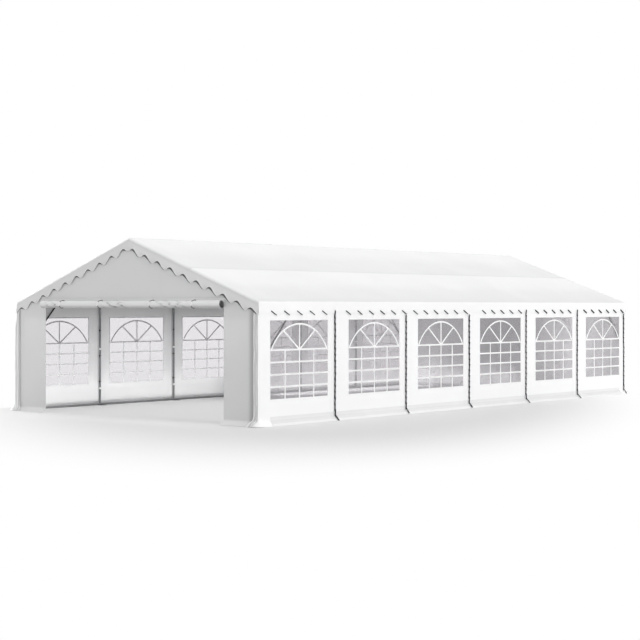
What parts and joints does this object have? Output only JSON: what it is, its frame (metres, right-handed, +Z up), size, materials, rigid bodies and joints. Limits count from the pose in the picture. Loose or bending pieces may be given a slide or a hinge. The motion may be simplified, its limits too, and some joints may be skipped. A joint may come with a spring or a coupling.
{
  "type": "party marquee tent",
  "caption": "Long white fabric party marquee with arched clear windows in its side walls, scalloped gable edges and a rolled-up gable door, on a steel tube frame.",
  "frame": {"origin": "on the ground, in the middle of the tent", "axes": "+Y along the tent to its closed back gable, with the open front gable facing -Y; +X to the right across the tent as the front gable is seen; +Z up"},
  "size_m": [6.1796, 12.2241, 3.1],
  "materials": {
    "white_fabric": "coated, satin",
    "clear_film": "clear, slightly wavy",
    "galvanised_steel": "dull zinc"
  },
  "bodies": {
    "root": {"back_door": "white_fabric", "back_gable": "white_fabric", "back_valance": "white_fabric", "frame_1": "galvanised_steel", "frame_2": "galvanised_steel", "frame_3": "galvanised_steel", "frame_4": "galvanised_steel", "frame_5": "galvanised_steel", "frame_6": "galvanised_steel", "frame_7": "galvanised_steel", "front_door_roll": "white_fabric", "front_gable": "white_fabric", "front_valance": "white_fabric", "left_eave_purlin": "galvanised_steel", "left_ground_rail": "galvanised_steel", "left_middle_purlin": "galvanised_steel", "left_wall_1": "white_fabric", "left_wall_2": "white_fabric", "left_wall_3": "white_fabric", "left_wall_4": "white_fabric", "left_wall_5": "white_fabric", "left_wall_6": "white_fabric", "left_window_1": "clear_film", "left_window_2": "clear_film", "left_window_3": "clear_film", "left_window_4": "clear_film", "left_window_5": "clear_film", "left_window_6": "clear_film", "ridge_purlin": "galvanised_steel", "right_eave_purlin": "galvanised_steel", "right_ground_rail": "galvanised_steel", "right_middle_purlin": "galvanised_steel", "right_wall_1": "white_fabric", "right_wall_2": "white_fabric", "right_wall_3": "white_fabric", "right_wall_4": "white_fabric", "right_wall_5": "white_fabric", "right_wall_6": "white_fabric", "right_window_1": "clear_film", "right_window_2": "clear_film", "right_window_3": "clear_film", "right_window_4": "clear_film", "right_window_5": "clear_film", "right_window_6": "clear_film", "roof_cover": "white_fabric"}
  },
  "joints": []
}
